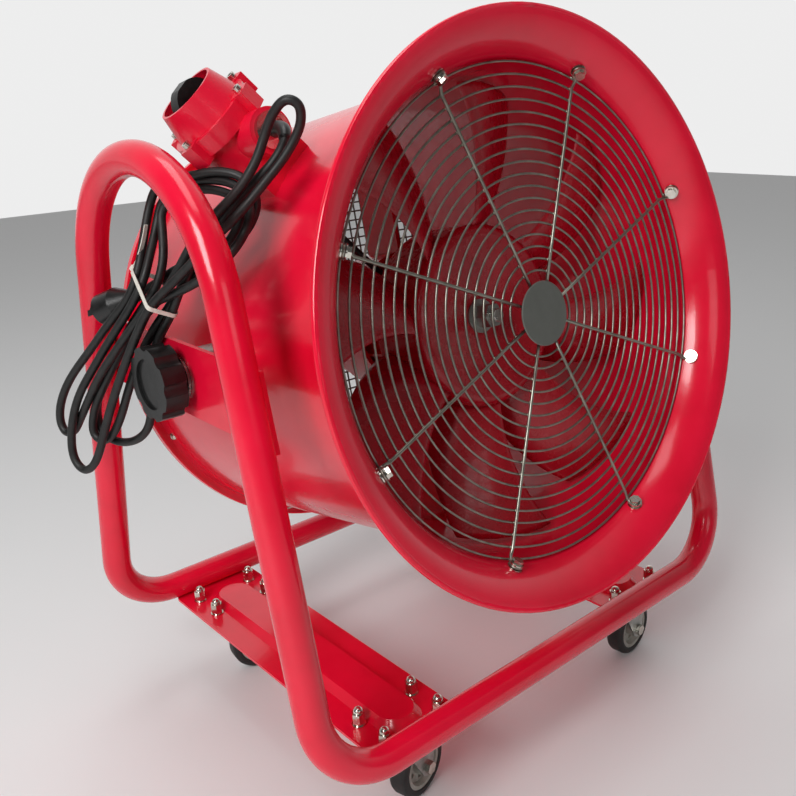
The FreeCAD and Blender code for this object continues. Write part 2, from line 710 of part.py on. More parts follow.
def cable_gland():
    ring = rod(V(0, -GLAND_OUT + 22, GLAND_H), V(0, -GLAND_OUT, GLAND_H), GLAND_R)
    mouth = rod(V(0, -GLAND_OUT + 4, GLAND_H), V(0, -GLAND_OUT - 1, GLAND_H), GLAND_R - 4.5)
    seal = rod(V(0, -GLAND_OUT + 5, GLAND_H), V(0, -GLAND_OUT - 3, GLAND_H), 8.5)
    return [at_switch(ring.cut(mouth)), at_switch(seal.cut(rod(V(0, 0, GLAND_H), V(0, -GLAND_OUT + 4, GLAND_H), 20)))]


# ---------------------------------------------------------------- pivots and star knobs
def pivot_fittings():
    face = SIDE_OUT - PLATE_T
    boss = rod(V(-DUCT_R + 12, 0, 0), V(-face + 3.6, 0, 0), 26.0).cut(rod(V(0, -60, 0), V(0, 60, 0), DUCT_R + SHEET))
    pad = pipe(V(-face + 3.6, 0, 0), V(-face + 0.4, 0, 0), 30.0, STUD_R)
    stud = rod(V(-face + 12, 0, 0), V(-SIDE_OUT - 27, 0, 0), STUD_R)
    boss = boss.cut(rod(V(-face + 12, 0, 0), V(-face - 5, 0, 0), STUD_R))
    washer = pipe(V(-SIDE_OUT - 0.4, 0, 0), V(-SIDE_OUT - 2.9, 0, 0), 24.0, STUD_R)
    left = [boss, pad, stud, washer]
    return [tilted(s) for s in left + [mirrored_x(s) for s in left]]


def star_knob():
    start = -SIDE_OUT - 3.2
    wheel = rod(V(start - 7, 0, 0), V(start - 31, 0, 0), KNOB_R)
    neck = rod(V(start, 0, 0), V(start - 8, 0, 0), 22.0)
    scallops = []
    for i in range(8):
        a = math.radians(45.0 * i + 10)
        p = V(0, 43.5 * math.cos(a), 43.5 * math.sin(a))
        scallops.append(rod(p.add(V(start - 5, 0, 0)), p.add(V(start - 33, 0, 0)), 9.0))
    dish = rod(V(start - 28, 0, 0), V(start - 33, 0, 0), 26.0)
    hole = rod(V(start + 1, 0, 0), V(-SIDE_OUT - 27.3, 0, 0), STUD_R + FIT)
    return fuse([wheel.cut(group(scallops)), neck]).cut(dish).cut(hole)


# ---------------------------------------------------------------- power cord
def route_edges(route):
    """Straight runs joined by arcs, each arc as large as its two runs allow."""
    edges = []
    radii = []
    here = route[0]
    for before, corner, after in zip(route, route[1:], route[2:]):
        one, two = corner.sub(before), after.sub(corner)
        turn = one.getAngle(two)
        cut = 0.45 * min(one.Length, two.Length)
        radius = cut / math.tan(turn / 2)
        radii.append(radius)
        start = corner.sub(V(one).normalize().multiply(cut))
        end = corner.add(V(two).normalize().multiply(cut))
        inward = V(two).normalize().sub(V(one).normalize()).normalize()
        gap = radius / math.cos(turn / 2) - radius
        edges.append(Part.LineSegment(here, start).toShape())
        edges.append(Part.Arc(start, corner.add(inward.multiply(gap)), end).toShape())
        here = end
    edges.append(Part.LineSegment(here, route[-1]).toShape())
    return edges, radii


def cord_tube(route, name):
    edges, radii = route_edges(route)
    path = Part.Wire(edges)
    ring = Part.Wire(Part.makeCircle(CORD_D / 2, route[0], route[1].sub(route[0])))
    tube = path.makePipeShell([ring], True, False)
    section = math.pi * CORD_D ** 2 / 4
    print(name, "arc radii", [round(r) for r in radii], "length", round(path.Length),
          "volume / section", round(tube.Volume / section))
    return tube


NORMAL = V(0, -math.cos(math.radians(TILT)), math.sin(math.radians(TILT)))


def gland_mouth():
    """The point where the cord leaves the gland, in the frame's coordinates."""
    p = Part.Vertex(V(0, -GLAND_OUT - 3, GLAND_H))
    return at_switch(p).Vertexes[0].Point


def power_lead():
    """The lead from the gland to the hank, the bight that stands up beside the gland, and the tail to the plug."""
    lead = [gland_mouth(), V(-211, -83, 731), V(-220, -97, 719), V(-233, -96, 702), V(-246, -84, 687), V(-258, -71, 672),
            V(-270, -57, 655), V(-279, -42, 637)]
    bight = [V(-292, -22, 616), V(-291, -40, 632), V(-279, -62, 655), V(-266, -78, 673), V(-256, -88, 690), V(-247, -93, 707),
             V(-241, -97, 725), V(-237, -105, 743), V(-231, -119, 757), V(-221, -127, 752), V(-218, -124, 737),
             V(-222, -117, 721), V(-231, -109, 704), V(-243, -99, 687), V(-255, -88, 669), V(-268, -76, 651),
             V(-282, -62, 634), V(-289, -46, 618), V(-288, -30, 606)]
    tail = [V(-280, -20, 606), V(-284, 4, 603), V(-292, 24, 594), V(-303, 38, 581), V(-316.5, 55, 570.5)]
    return [cord_tube(lead, "lead"), cord_tube(bight, "bight"), cord_tube(tail, "tail")]


HANK_SIDES = 16


def oval(centre, along, wide, thick, across):
    """Points round an ellipse about a centre, square to a direction, its long axis near another one."""
    along = V(along).normalize()
    side = V(across).sub(V(along).multiply(V(across).dot(along))).normalize()
    other = along.cross(side)
    out = []
    for i in range(HANK_SIDES):
        a = 2 * math.pi * i / HANK_SIDES
        out.append(centre.add(V(side).multiply(wide * math.cos(a))).add(V(other).multiply(thick * math.sin(a))))
    return out


def skinned(rings):
    """A closed solid through rings of the same number of points, made of flat triangles."""
    def triangle(a, b, c):
        return Part.Face(Part.makePolygon([a, b, c, a]))

    faces = []
    for lower, upper in zip(rings, rings[1:]):
        for i in range(HANK_SIDES):
            j = (i + 1) % HANK_SIDES
            faces.append(triangle(lower[i], lower[j], upper[j]))
            faces.append(triangle(lower[i], upper[j], upper[i]))
    for end in (rings[0], rings[-1]):
        faces.append(Part.Face(Part.makePolygon(end + [end[0]])))
    solid = Part.makeSolid(Part.makeShell(faces))
    if solid.Volume < 0:
        solid.reverse()
    return solid


ACROSS_TOP, ACROSS_LEGS = V(-0.3, 0.95, 0), V(-0.25, 1, 0.25)
HANK = [
    # centre, half width, half thickness, and the way the wide side faces
    (V(-264, -4, 688), 22, 5, ACROSS_TOP),
    (V(-266, -8, 678), 42, 9, ACROSS_TOP),
    (V(-277, -4, 655), 62, 12, ACROSS_TOP),
    (V(-296, -8, 612), 42, 13, ACROSS_TOP),
    (V(-314, 13, 574), 25, 11, ACROSS_LEGS),
    (V(-328, 46, 535), 20, 12, ACROSS_LEGS),
    (V(-342, 80, 478), 27, 12, ACROSS_LEGS),
    (V(-352, 108, 428), 55, 12, ACROSS_LEGS),
    (V(-360, 116, 404), 50, 12, ACROSS_LEGS),
    (V(-366, 128, 378), 18, 8, ACROSS_LEGS),
]
TIED = 4                    # the station that the tie goes round


def hank_way(i):
    """The hank's direction at a station."""
    return HANK[min(i + 1, len(HANK) - 1)][0].sub(HANK[max(i - 1, 0)][0])


def cord_hank():
    rings = []
    for i, (centre, wide, thick, across) in enumerate(HANK):
        rings.append(oval(centre, hank_way(i), wide, thick, across))
    return skinned(rings)


def cable_tie():
    centre, wide, thick, across = HANK[TIED]
    along = hank_way(TIED).normalize()
    skins = []
    for grow in (2.2, 0.2):
        ring = oval(centre.sub(V(along).multiply(2.4)), along, wide + grow, thick + grow, across)
        skins.append(Part.Face(Part.makePolygon(ring + [ring[0]])).extrude(V(along).multiply(4.8)))
    return skins[0].cut(skins[1])


def plug():
    """Moulded plug: a round body with three pins, lying along the rear leg behind the hank."""
    body = Part.makeCylinder(17, 24, O, Z)
    neck = Part.makeCone(17, 7, 22, V(0, 0, 24), Z)
    sleeve = Part.makeCylinder(7, 12, V(0, 0, 45), Z)
    pins = [box(-7.1, -3.2, -18, -5.6, 3.2, 1), box(5.6, -3.2, -18, 7.1, 3.2, 1), rod(V(0, 6.5, -20), V(0, 6.5, 1), 2.4)]
    return fuse([body, neck, sleeve] + pins)


def placed_plug():
    return turned_to(plug(), V(-335, 100, 552), V(0.35, -0.85, 0.35))


def build():
    left_arch = arch_tube()
    save("left_arch_tube", left_arch)
    save("right_arch_tube", mirrored_x(left_arch))
    save("front_bar", bar(-1))
    save("rear_bar", bar(1))
    plate = side_plate()
    save("left_side_plate", plate)
    save("right_side_plate", mirrored_x(plate))
    base = base_plate()
    save("right_base_plate", base)
    save("left_base_plate", mirrored_x(base))

    save("caster_top_plates", group(both_ends(caster_top_plate())))
    bolt, flat, spring, nut, acorn = caster_fasteners()
    save("caster_bolts", group(at_holes(bolt)))
    save("caster_washers", group(at_holes(flat) + at_holes(spring)))
    save("caster_nuts", group(at_holes(nut) + at_holes(acorn)))
    for corner, (sx, sy, swivel, braked) in CASTERS.items():
        save(corner + "_fork", caster_at(fork(), corner))
        save(corner + "_axle", caster_at(axle(braked), corner))
        save(corner + "_wheel_core", caster_at(wheel_core(), corner))
        save(corner + "_tyre", caster_at(tyre(), corner))
        if braked:
            save(corner + "_brake_pedal", caster_at(brake_pedal(), corner))

    save("duct_barrel", duct_barrel())
    save("bell_mouth", bell_mouth())
    save("rear_rim", rear_rim())
    save("pivot_fittings", group(pivot_fittings()))
    save("front_guard_rings", group(front_guard_rings()))
    save("front_guard_spokes", group(front_guard_spokes()))
    save("guard_badge", guard_badge())
    save("duct_screws", group(guard_screw_sets() + rim_screws()))
    save("rear_guard_mesh", group(rear_guard_mesh()))

    save("impeller_hub", impeller_hub())
    save("impeller_blades", group(impeller_blades()))
    save("rotor_and_shaft", group(rotor_and_shaft()))
    save("shaft_nut", group(shaft_nut()))
    save("motor_housing", motor_housing())
    save("motor_stator", motor_stator())
    save("motor_end_shields", group(end_shields()))
    save("motor_bearings", group(bearings()))
    save("motor_mount", motor_mount())
    save("motor_lead", motor_lead())

    save("switch_base", switch_base())
    save("switch_cover", switch_cover())
    save("switch_screws", group(switch_screws()))
    save("switch_knob", switch_knob())
    save("cable_gland", group(cable_gland()))

    knob = star_knob()
    save("left_star_knob", tilted(knob))
    save("right_star_knob", tilted(mirrored_x(knob)))

    save("power_lead", group(power_lead()))
    save("cord_hank", cord_hank())
    save("cable_tie", cable_tie())
    save("plug", placed_plug())


build()
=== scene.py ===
import math
import bmesh
import bpy
import numpy as np
from mathutils import Matrix, Vector


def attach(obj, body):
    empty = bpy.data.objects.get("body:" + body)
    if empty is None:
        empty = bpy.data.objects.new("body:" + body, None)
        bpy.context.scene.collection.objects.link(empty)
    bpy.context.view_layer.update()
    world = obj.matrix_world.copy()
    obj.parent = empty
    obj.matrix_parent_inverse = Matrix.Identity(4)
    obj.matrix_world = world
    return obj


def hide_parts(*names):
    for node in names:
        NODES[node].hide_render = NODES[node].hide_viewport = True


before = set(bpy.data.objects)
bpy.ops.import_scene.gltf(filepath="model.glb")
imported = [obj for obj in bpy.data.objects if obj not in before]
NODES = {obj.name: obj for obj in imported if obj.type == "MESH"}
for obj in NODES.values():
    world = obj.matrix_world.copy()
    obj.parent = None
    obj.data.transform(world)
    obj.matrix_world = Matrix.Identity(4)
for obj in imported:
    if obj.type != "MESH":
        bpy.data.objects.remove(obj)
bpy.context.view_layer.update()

SHIFT = Vector((0, 0.0132, 0))      # the model stands 13.2 mm behind the pivots' plane
PIVOT = Vector((0, 0.0132, 0.492))
TILT = math.radians(10.5)
DUCT_TURN = Matrix.Rotation(-TILT, 4, "X")


def mm(*p):
    """A point in millimetres about the pivots' plane, as metres in the frame."""
    return Vector(p) * 0.001 + SHIFT


# ------------------------------------------------------------------ colours, nodes and materials
def srgb(code):
    """Linear colour of an sRGB hex value."""
    parts = [int(code[i:i + 2], 16) / 255 for i in (1, 3, 5)]
    return tuple(c / 12.92 if c <= 0.04045 else ((c + 0.055) / 1.055) ** 2.4 for c in parts) + (1.0,)


def add(tree, kind, put=None, **settings):
    """Adds a node with its settings. put gives sockets their values, or the sockets or nodes they are linked from;
    stops gives a colour ramp its positions and sRGB hex values."""
    node = tree.nodes.new(kind)
    stops = settings.pop("stops", ())
    for name, value in settings.items():
        setattr(node, name, value)
    for i, (where, code) in enumerate(stops):
        ends = node.color_ramp.elements
        stop = ends[i] if i < len(ends) else ends.new(where)
        stop.position = where
        stop.color = srgb(code)
    for socket, value in (put or {}).items():
        if isinstance(value, bpy.types.Node):
            value = value.outputs[0]
        if isinstance(value, bpy.types.NodeSocket):
            tree.links.new(value, node.inputs[socket])
        else:
            node.inputs[socket].default_value = value
    return node


def new_material(name):
    """An empty material: its tree, and the place on the object where its patterns are read."""
    material = bpy.data.materials.new(name)
    material.use_nodes = True
    tree = material.node_tree
    tree.nodes.clear()
    return material, tree, add(tree, "ShaderNodeTexCoord").outputs["Object"]


def shaded(material, tree, put):
    """Ends a material with its shader."""
    shader = add(tree, "ShaderNodeBsdfPrincipled", put)
    add(tree, "ShaderNodeOutputMaterial", {"Surface": shader})
    return material


def coated(name, light, main, dark, rough=0.2, peel=0.05):
    """Powder coat: polyester powder fused to a thick glossy skin, so it shows faint orange peel,
    drifts a little in tone, and is duller where dust and hands have been."""
    material, tree, place = new_material(name)
    drift = add(tree, "ShaderNodeTexNoise", {"Vector": place, "Scale": 9.0, "Detail": 3.0, "Roughness": 0.6})
    dust = add(tree, "ShaderNodeTexNoise", {"Vector": place, "Scale": 55.0, "Detail": 5.0, "Roughness": 0.65})
    colour = add(tree, "ShaderNodeValToRGB", {"Fac": drift}, stops=[(0.3, dark), (0.5, main), (0.72, light)])
    gloss = add(tree, "ShaderNodeMapRange", {"Value": dust, "From Min": 0.3, "From Max": 0.8,
                                             "To Min": rough - 0.03, "To Max": rough + 0.07})
    # orange peel is 2 to 3 mm across, on waves of the sheet some 40 mm long
    skin = add(tree, "ShaderNodeTexNoise", {"Vector": place, "Scale": 330.0, "Detail": 1.0, "Roughness": 0.4})
    waves = add(tree, "ShaderNodeTexNoise", {"Vector": place, "Scale": 24.0, "Detail": 1.0})
    wavy = add(tree, "ShaderNodeBump", {"Height": waves, "Strength": 0.06, "Distance": 0.004})
    bumpy = add(tree, "ShaderNodeBump", {"Height": skin, "Strength": peel, "Distance": 0.0006, "Normal": wavy})
    return shaded(material, tree, {"Base Color": colour, "Roughness": gloss, "Normal": bumpy,
                                   "IOR": 1.5, "Coat Weight": 0.25, "Coat Roughness": 0.06})


def metal(name, light, dark, rough, grain=60.0, metallic=1.0):
    """Bare or plated metal: tone and gloss drift with its crystals, rolling or turning marks."""
    material, tree, place = new_material(name)
    marks = add(tree, "ShaderNodeTexNoise", {"Vector": place, "Scale": grain, "Detail": 4.0, "Roughness": 0.6})
    fine = add(tree, "ShaderNodeTexNoise", {"Vector": place, "Scale": grain * 9, "Detail": 2.0})
    colour = add(tree, "ShaderNodeValToRGB", {"Fac": marks}, stops=[(0.3, dark), (0.7, light)])
    gloss = add(tree, "ShaderNodeMapRange", {"Value": marks, "From Min": 0.3, "From Max": 0.7,
                                             "To Min": rough + 0.1, "To Max": rough - 0.06})
    lifted = add(tree, "ShaderNodeBump", {"Height": fine, "Strength": 0.1, "Distance": 0.0004})
    return shaded(material, tree, {"Base Color": colour, "Roughness": gloss, "Normal": lifted, "Metallic": metallic})


def moulded(name, light, dark, rough):
    """Moulded rubber or plastic: a fine matt grain, with paler dust rubbed into it."""
    material, tree, place = new_material(name)
    dust = add(tree, "ShaderNodeTexNoise", {"Vector": place, "Scale": 70.0, "Detail": 6.0, "Roughness": 0.7})
    # the mould's grain is 1 to 2 mm, coarser than a real one, so that it shows
    pits = add(tree, "ShaderNodeTexNoise", {"Vector": place, "Scale": 700.0, "Detail": 2.0})
    colour = add(tree, "ShaderNodeValToRGB", {"Fac": dust}, stops=[(0.4, dark), (0.72, light)])
    gloss = add(tree, "ShaderNodeMapRange", {"Value": dust, "From Min": 0.35, "From Max": 0.7,
                                             "To Min": rough - 0.07, "To Max": rough + 0.1})
    lifted = add(tree, "ShaderNodeBump", {"Height": pits, "Strength": 0.15, "Distance": 0.0005})
    return shaded(material, tree, {"Base Color": colour, "Roughness": gloss, "Normal": lifted, "IOR": 1.5})


RED_COAT = coated("red_powder_coat_gloss", "#F0123A", "#E80E34", "#DC0B2E")
# the impeller's coat is the same red paint made darker: painted shade for the hub and blades deep inside the duct
RED_COAT_PAINTED_SHADE = coated("red_powder_coat_impeller", "#C00F26", "#B00C20", "#A00A1C", rough=0.26)
RED_CAST = coated("red_coat_on_sand_casting", "#E81338", "#DE0F33", "#CC0B2B", rough=0.3, peel=0.35)
ZINC = metal("zinc_plated_steel", "#B9BBB6", "#8B8E8A", 0.32)
NICKEL = metal("nickel_plated_fasteners", "#E4E0D6", "#B4AFA4", 0.16)
WIRE = metal("bright_zinc_wire", "#A7A79C", "#7C7D73", 0.34)
MESH = metal("galvanised_mesh_wire", "#8C8B84", "#5E5D57", 0.5)
STEEL = metal("turned_steel", "#C5C4BF", "#96958F", 0.28)
BADGE = metal("dark_anodised_disc", "#6F716C", "#666862", 0.42, grain=40.0, metallic=0.4)
CORD = moulded("rubber_cord_jacket", "#232322", "#0D0E0E", 0.5)
TYRE = moulded("solid_rubber_tyre", "#2E2D2B", "#141414", 0.6)
CORE = moulded("grey_polypropylene_core", "#B9B7AE", "#9A988F", 0.42)
BLACK = moulded("black_glass_filled_nylon", "#1E1E1E", "#0E0E0E", 0.36)
NYLON = moulded("natural_nylon_tie", "#E9E6DC", "#D5D1C6", 0.35)

FINISH = {
    "left_arch_tube": RED_COAT, "right_arch_tube": RED_COAT, "front_bar": RED_COAT, "rear_bar": RED_COAT,
    "left_side_plate": RED_COAT, "right_side_plate": RED_COAT, "left_base_plate": RED_COAT, "right_base_plate": RED_COAT,
    "caster_top_plates": ZINC, "caster_bolts": NICKEL, "caster_washers": NICKEL, "caster_nuts": NICKEL,
    "duct_barrel": RED_COAT, "bell_mouth": RED_COAT, "rear_rim": RED_COAT, "pivot_fittings": STEEL,
    "front_guard_rings": WIRE, "front_guard_spokes": WIRE, "guard_badge": BADGE, "duct_screws": NICKEL,
    "rear_guard_mesh": MESH, "motor_housing": RED_CAST, "motor_stator": STEEL, "motor_end_shields": RED_CAST,
    "motor_bearings": STEEL, "motor_mount": RED_COAT, "motor_lead": CORD, "switch_base": RED_CAST,
    "switch_cover": RED_CAST, "switch_screws": NICKEL, "cable_gland": NICKEL, "plug": BLACK, "cable_tie": NYLON,
    "impeller_hub": RED_COAT_PAINTED_SHADE, "impeller_blades": RED_COAT_PAINTED_SHADE, "rotor_and_shaft": STEEL, "shaft_nut": ZINC,
    "left_star_knob": BLACK, "right_star_knob": BLACK, "switch_knob": BLACK,
}
for corner in ("front_left", "front_right", "rear_left", "rear_right"):
    FINISH[corner + "_fork"] = ZINC
    FINISH[corner + "_axle"] = NICKEL
    FINISH[corner + "_wheel_core"] = CORE
    FINISH[corner + "_tyre"] = TYRE
    FINISH[corner + "_brake_pedal"] = ZINC
for name, material in FINISH.items():
    if name in NODES:
        NODES[name].data.materials.clear()
        NODES[name].data.materials.append(material)


# ------------------------------------------------------------------ power cord
CORD_R = 0.0045
CORD_ROUTE = [
    # lead
    (-208.5, -63.9, 728.8), (-211, -83, 731), (-220, -97, 719), (-233, -96, 702), (-246, -84, 687), (-258, -71, 672),
    (-270, -57, 655), (-282, -42, 637), (-297, -30, 610), (-307, -17, 585), (-314, -6, 562), (-318, 12, 543),
    (-318, 34, 524), (-319, 48, 500), (-321, 50, 475),
    # knob loop
    (-324, 50, 447), (-329, 56, 424), (-338, 76, 408), (-350, 102, 404), (-357, 122, 416), (-356, 120, 446),
    (-349, 98, 480), (-339, 68, 517), (-328, 42, 550), (-313, 20, 578), (-302, 16, 606), (-295, 24, 632),
    (-290, 32, 654),
    # top loop 1
    (-281, 22, 668), (-269, 3, 675), (-257, -20, 677), (-248, -40, 672), (-248, -55, 666), (-256, -64, 651),
    (-269, -63, 633), (-283, -50, 616), (-296, -30, 598), (-305, -8, 580), (-310, 10, 558),
    # inner loop
    (-318, 26, 536), (-329, 44, 505), (-338, 60, 472), (-344, 76, 440), (-350, 93, 416), (-357, 111, 407),
    (-363, 123, 418), (-361, 116, 446), (-353, 94, 480), (-342, 66, 516), (-330, 40, 546), (-313, 12, 572),
    (-300, -8, 597), (-294, -26, 617), (-290, -42, 634),
    # bight
    (-279, -62, 655), (-266, -78, 673), (-256, -88, 690), (-247, -93, 707), (-241, -97, 725), (-237, -105, 743),
    (-231, -119, 757), (-221, -127, 752), (-218, -124, 737), (-222, -117, 721), (-231, -109, 704), (-243, -99, 687),
    (-255, -88, 669), (-268, -76, 651), (-282, -62, 634), (-296, -42, 610), (-308, -20, 588), (-318, 0, 570),
    # centre loop
    (-326, 18, 545), (-335, 38, 513), (-344, 62, 475), (-352, 84, 436), (-359, 98, 402), (-365, 110, 380),
    (-371, 126, 371), (-375, 140, 386), (-371, 137, 420), (-364, 122, 458), (-352, 96, 494), (-341, 66, 530),
    (-330, 38, 562), (-318, 26, 590), (-304, 34, 616), (-291, 42, 640), (-284, 41, 662),
    # top loop 2
    (-277, 28, 674), (-268, 8, 683), (-256, -16, 686), (-244, -40, 682), (-240, -56, 670), (-246, -72, 654),
    (-260, -76, 634), (-276, -66, 613), (-293, -44, 594), (-309, -16, 580), (-320, 8, 570),
    # left loop
    (-330, 30, 548), (-341, 58, 518), (-352, 88, 486), (-360, 114, 454), (-367, 136, 428), (-371, 148, 412),
    (-377, 160, 408), (-379, 168, 422), (-376, 162, 446), (-368, 142, 476), (-354, 108, 510), (-343, 70, 545),
    (-329, 44, 572), (-318, 38, 600), (-304, 48, 628), (-293, 54, 652),
    # top loop 3
    (-287, 48, 672), (-281, 32, 684), (-274, 4, 684), (-257, -22, 690), (-242, -46, 685), (-237, -60, 664),
    (-247, -60, 640), (-261, -46, 622), (-272, -22, 608), (-280, 0, 604), (-289, 22, 596), (-301, 37, 583),
    (-316, 55, 571),
]


def settled(route):
    """Pushes the hank's turns apart until they lie beside each other and clear the star knob, as cords do.
    It works in millimetres and moves control points only; both ends are held."""
    gap, neighbour, passes, looks = 9.3, 34.0, 220, 6       # looks: places looked at on each run
    furthest, ease, keep_shape = 1.2, 1.6, 0.06             # the longest move in a pass, its ease, and the pull back
    knob_axis, knob_reach, knob_from, knob_to = np.array([0, 492]), 44.5, -349, -304
    points = np.array(route, float)
    start = points.copy()
    count = len(points)
    rows = []
    for i in range(1, count - 1):
        for k in range(looks):
            t = k / looks
            row = np.zeros(count)
            row[i - 1], row[i], row[i + 1] = (1 - t) ** 2 / 2, 0.5 + t - t * t, t * t / 2
            rows.append(row)
    weights = np.array(rows)
    share = weights / weights.sum(0).clip(0.5)
    hold = np.ones((count, 1))
    hold[:4] = hold[-3:] = 0
    bend = np.zeros_like(points)
    bend[1:-1] = (start[:-2] + start[2:]) / 2 - start[1:-1]
    for _ in range(passes):
        line = weights @ points
        run = np.linalg.norm(np.diff(line, axis=0), axis=1)
        along = np.concatenate([[0], np.cumsum(run)])
        apart = line[:, None] - line[None]
        far = np.linalg.norm(apart, axis=2)
        near = (far < gap) & (np.abs(along[:, None] - along[None]) > neighbour)
        push = np.where(near, (gap - far) / np.maximum(far, 0.5), 0.0)
        move = (push[:, :, None] * apart).sum(1) * 0.5
        move *= np.minimum(1, furthest / np.maximum(np.linalg.norm(move, axis=1, keepdims=True), 1e-9))
        out = line[:, 1:] - knob_axis
        r = np.linalg.norm(out, axis=1)
        knob = (r < knob_reach) & (line[:, 0] < knob_to) & (line[:, 0] > knob_from)
        move[knob, 1:] += out[knob] / r[knob, None] * (knob_reach - r[knob, None]).clip(0, 1.5)
        now = np.zeros_like(points)
        now[1:-1] = (points[:-2] + points[2:]) / 2 - points[1:-1]
        points += hold * (share.T @ move * ease + keep_shape * (now - bend))
    return [mm(*p) for p in points]


def cord_line(points):
    """The cord's own curve: one open spline with the route's points."""
    data = bpy.data.curves.new("power_cord", "CURVE")
    data.dimensions = "3D"
    spline = data.splines.new("NURBS")
    spline.points.add(len(points) - 1)
    for place, point in zip(points, spline.points):
        point.co = (*place, 1.0)
    spline.order_u = 3
    spline.use_endpoint_u = True
    spline.resolution_u = 8
    return data


def link(name, data, *materials):
    """Puts a mesh or curve in the scene, with its finish."""
    thing = bpy.data.objects.new(name, data)
    bpy.context.scene.collection.objects.link(thing)
    for material in materials:
        data.materials.append(material)
    return thing


def mesh_from(name, verts, faces, material, smooth=True):
    """A piece from its points and faces, all of them facing outwards."""
    data = bpy.data.meshes.new(name)
    data.from_pydata([tuple(v) for v in verts], [], faces)
    shape = bmesh.new()
    shape.from_mesh(data)
    bmesh.ops.recalc_face_normals(shape, faces=shape.faces)
    shape.to_mesh(data)
    shape.free()
    data.polygons.foreach_set("use_smooth", [smooth] * len(data.polygons))
    return link(name, data, material)


def bevelled(thing, width, segments=2, angle=35):
    """Rounds a piece's sharp edges."""
    rounding = thing.modifiers.new("edges", "BEVEL")
    rounding.width = width
    rounding.segments = segments
    rounding.limit_method = "ANGLE"
    rounding.angle_limit = math.radians(angle)
    return thing


def swept(name, path, radii, material, sides=20):
    """A closed tube along a path, its radius changing from point to point."""
    path = [Vector(p) for p in path]
    verts, faces = [], []
    side = (path[1] - path[0]).orthogonal().normalized()
    for i, p in enumerate(path):
        way = (path[min(i + 1, len(path) - 1)] - path[max(i - 1, 0)]).normalized()
        side = (side - way * side.dot(way)).normalized()
        other = way.cross(side)
        for k in range(sides):
            a = 2 * math.pi * k / sides
            verts.append(p + (side * math.cos(a) + other * math.sin(a)) * radii[i])
    for i in range(len(path) - 1):
        for k in range(sides):
            a, b = i * sides + k, i * sides + (k + 1) % sides
            faces.append((a, b, b + sides, a + sides))
    faces.append(tuple(range(sides))[::-1])
    faces.append(tuple(range((len(path) - 1) * sides, len(path) * sides)))
    return mesh_from(name, verts, faces, material)


def sampled_line(curve):
    """Points along the cord's spline, read from the curve itself."""
    probe = bpy.data.objects.new("probe", curve)
    bpy.context.scene.collection.objects.link(probe)
    graph = bpy.context.evaluated_depsgraph_get()
    mesh = bpy.data.meshes.new_from_object(probe.evaluated_get(graph))
    line = [v.co.copy() for v in mesh.vertices]
    bpy.data.objects.remove(probe)
    bpy.data.meshes.remove(mesh)
    return line


def hull_of(places):
    """The tightest loop round flat points."""
    places = sorted(places)
    loop = []
    for run in (places, places[::-1]):
        chain = []
        for p in run:
            while len(chain) > 1:
                a, b = chain[-2:]
                if (b[0] - a[0]) * (p[1] - a[1]) - (b[1] - a[1]) * (p[0] - a[0]) > 0:
                    break
                chain.pop()
            chain.append(p)
        loop += chain[:-1]
    return loop


def cable_tie(line):
    """A nylon tie drawn tight round every strand, with its head and its cut tail."""
    half_width, thick, slack, reach, sides = 0.0023, 0.0013, 0.0003, 0.06, 24
    centre = mm(-314, 13, 574)
    along = (mm(-328, 46, 535) - mm(-296, -8, 612)).normalized()
    side = along.orthogonal().normalized()
    other = along.cross(side)
    grown_out = []
    for p, q in zip(line, line[1:]):
        a, b = (p - centre).dot(along), (q - centre).dot(along)
        if a * b <= 0 and a != b and (p - centre).length < reach:
            hit = p.lerp(q, a / (a - b)) - centre
            for k in range(sides):
                turn = 2 * math.pi * k / sides
                grown_out.append((hit.dot(side) + (CORD_R + slack) * math.cos(turn),
                                  hit.dot(other) + (CORD_R + slack) * math.sin(turn)))
    hull = hull_of(grown_out)
    n = len(hull)
    middle = (sum(p[0] for p in hull) / n, sum(p[1] for p in hull) / n)
    band = []
    for wall in (0.0, thick):
        for lift in (-half_width, half_width):
            for x, y in hull:
                out = Vector((x - middle[0], y - middle[1])).normalized() * wall
                band.append(centre + side * (x + out.x) + other * (y + out.y) + along * lift)
    faces = []
    for i in range(n):
        j = (i + 1) % n
        for a, b in ((0, n), (n, 3 * n), (3 * n, 2 * n), (2 * n, 0)):
            faces.append((a + i, a + j, b + j, b + i))
    tie = bevelled(mesh_from("cable_tie_band", band, faces, NYLON, smooth=False), 0.0004)
    # the head sits at the loop's rearmost point, and its tail stands up along the strands
    edge = min(hull, key=lambda p: -(centre + side * p[0] + other * p[1]).y)
    root = centre + side * edge[0] + other * edge[1]
    outward = (root - centre).normalized()
    flat = outward.cross(along)
    shape = bmesh.new()
    bmesh.ops.create_cube(shape, size=1.0)
    turned = Matrix((outward, along, flat)).transposed().to_4x4()
    shape.transform(Matrix.Translation(root + outward * 0.0035) @ turned @ Matrix.Diagonal((0.0055, 0.0062, 0.0075, 1)))
    block = bpy.data.meshes.new("cable_tie_head")
    shape.to_mesh(block)
    shape.free()
    head = bevelled(link("cable_tie_head", block, NYLON), 0.0008, 3)
    verts, faces = [], []
    steps = 5
    for i in range(steps + 1):
        t = i / steps
        p = root + outward * (0.004 + 0.004 * t) - along * 0.046 * t + Vector((0.0, 0.012, 0.004)) * t * t
        for a, b in ((-1, -1), (1, -1), (1, 1), (-1, 1)):
            verts.append(p + flat * 0.0021 * a + outward * 0.0006 * b)
        if i:
            k = 4 * i
            for c in range(4):
                d = (c + 1) % 4
                faces.append((k - 4 + c, k - 4 + d, k + d, k + c))
    faces += [(3, 2, 1, 0), (k, k + 1, k + 2, k + 3)]
    return [tie, head, mesh_from("cable_tie_tail", verts, faces, NYLON, smooth=False)]


